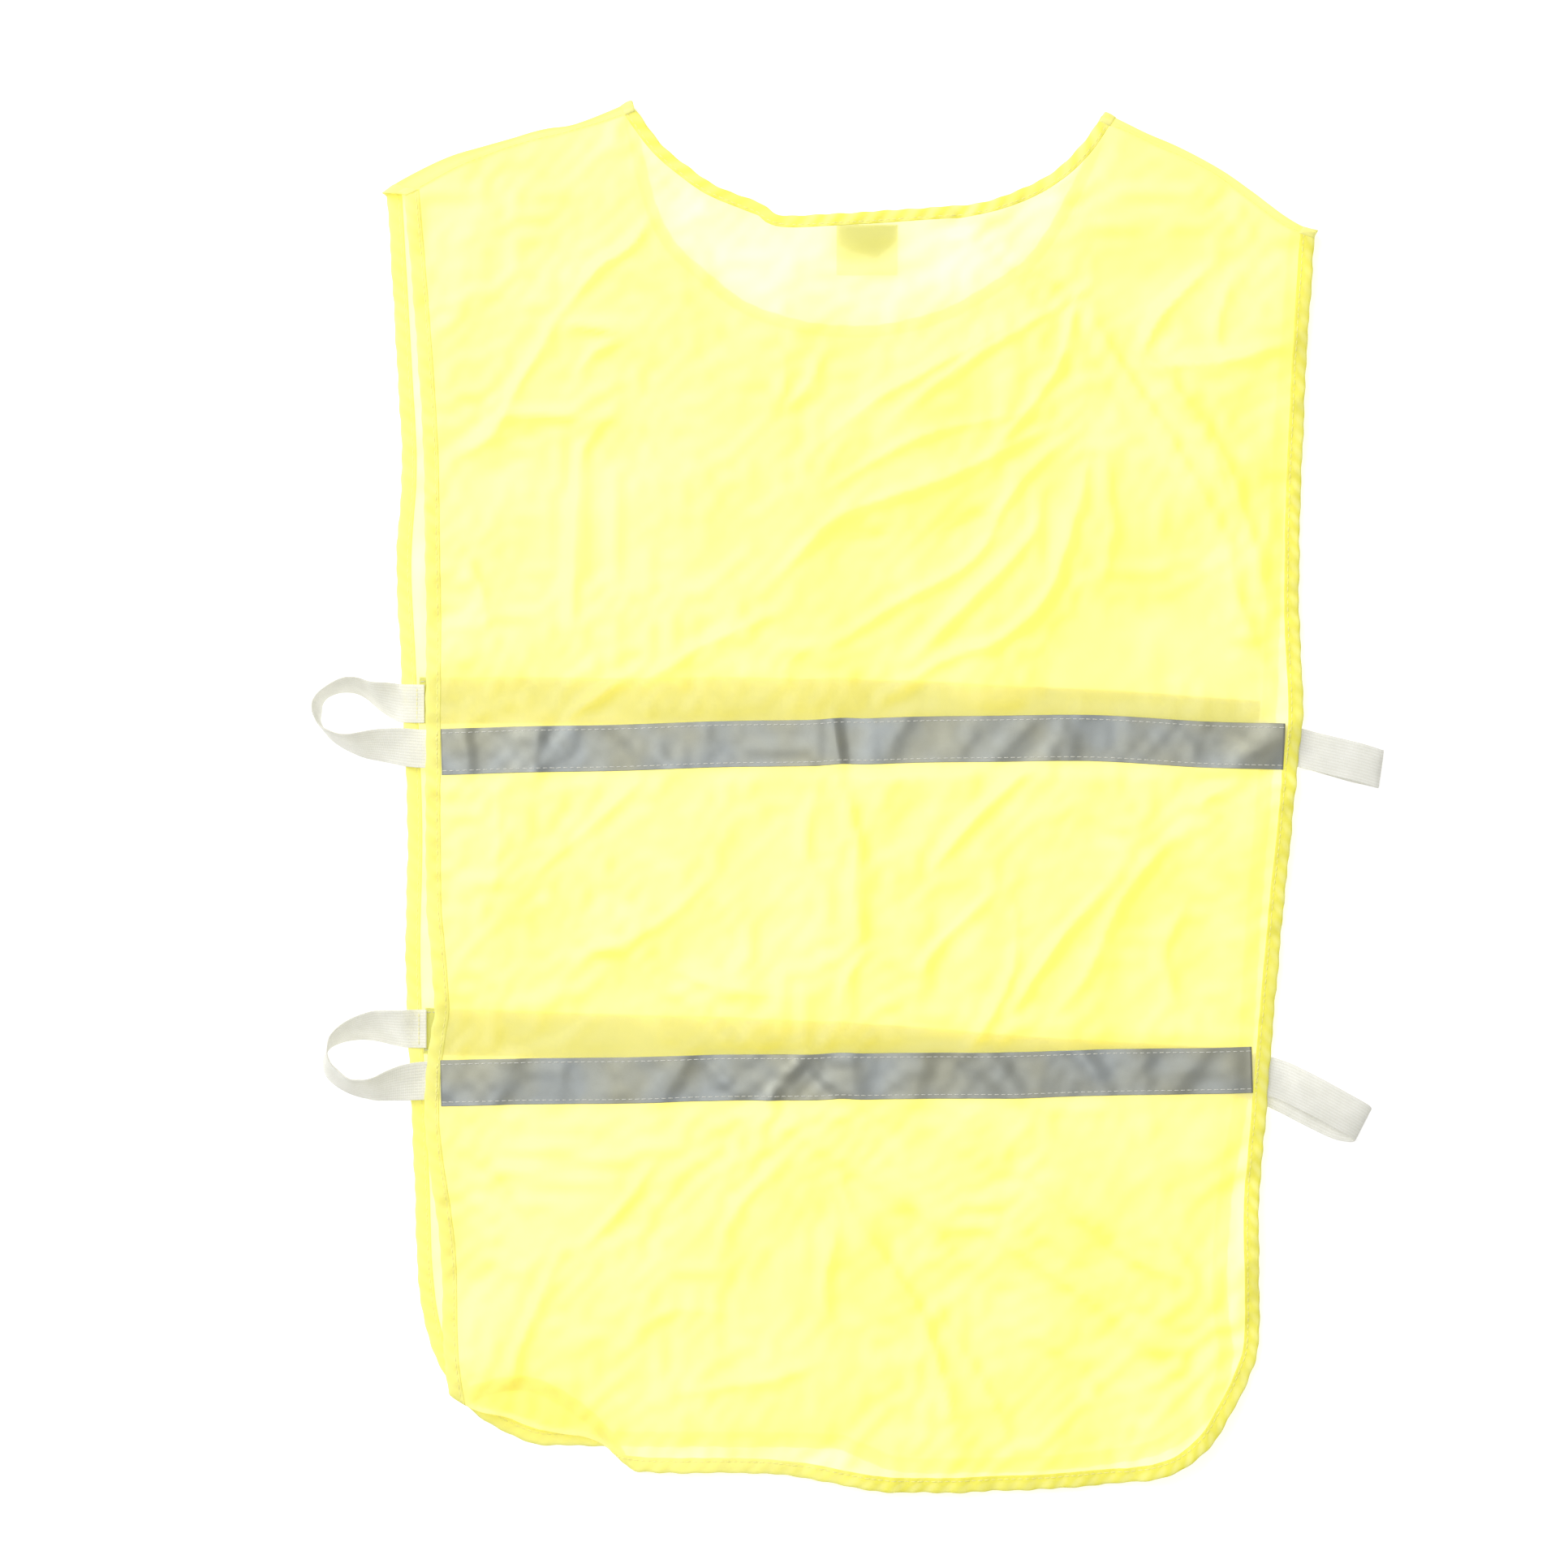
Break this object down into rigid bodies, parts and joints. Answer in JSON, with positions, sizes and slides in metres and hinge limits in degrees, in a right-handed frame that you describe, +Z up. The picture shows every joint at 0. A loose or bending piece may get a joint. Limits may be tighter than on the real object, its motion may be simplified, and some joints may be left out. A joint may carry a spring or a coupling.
{
  "type": "high visibility vest",
  "caption": "Sheer high-visibility tabard lying flat, with bound panels joined at the shoulders, grey reflective tapes across front and back, and elastic side loops.",
  "frame": {"origin": "centre of the underside of the whole vest's box, on the table it lies on", "axes": "+Z up from the table through front and back panel, +Y towards the neck, +X to the right as seen from above"},
  "size_m": [0.5789, 0.752, 0.0215],
  "materials": {
    "cloth": "thin sheer woven nylon",
    "binding": "folded bias tape of the same cloth",
    "reflective_tape": "fine-grained retroreflective tape with a soft sheen",
    "elastic": "ribbed woven elastic",
    "label": "blank woven satin label",
    "yellow_thread": "sewing thread",
    "white_thread": "sewing thread"
  },
  "bodies": {
    "front": {"front_panel": "cloth", "front_side_binding": "binding", "front_neck_binding": "binding", "front_upper_tape": "reflective_tape", "front_lower_tape": "reflective_tape", "front_side_stitching": "yellow_thread", "front_neck_stitching": "yellow_thread", "front_tape_stitching": "white_thread", "front_elastic_tacks": "yellow_thread", "left_shoulder_stitching": "yellow_thread", "right_shoulder_stitching": "yellow_thread", "left_upper_loop": "elastic", "left_lower_loop": "elastic", "right_upper_loop": "elastic", "right_lower_loop": "elastic"},
    "back": {"back_panel": "cloth", "back_side_binding": "binding", "back_neck_binding": "binding", "back_upper_tape": "reflective_tape", "back_lower_tape": "reflective_tape", "back_side_stitching": "yellow_thread", "back_neck_stitching": "yellow_thread", "back_tape_stitching": "white_thread", "back_elastic_tacks": "yellow_thread"},
    "label": {"neck_label": "label"}
  },
  "joints": [
    {"name": "back_opening", "type": "hinge", "parent": "front", "child": "back", "pos_m": [0.01, 0.372, 0.0085], "axis": [-1, 0, 0], "range_deg": [0, 25], "deforming": ["left_upper_loop", "left_lower_loop", "right_upper_loop", "right_lower_loop"]},
    {"name": "label_flip", "type": "hinge", "parent": "back", "child": "label", "pos_m": [0.01, 0.309, 0.00715], "axis": [1, 0, 0], "range_deg": [-10, 156]}
  ]
}
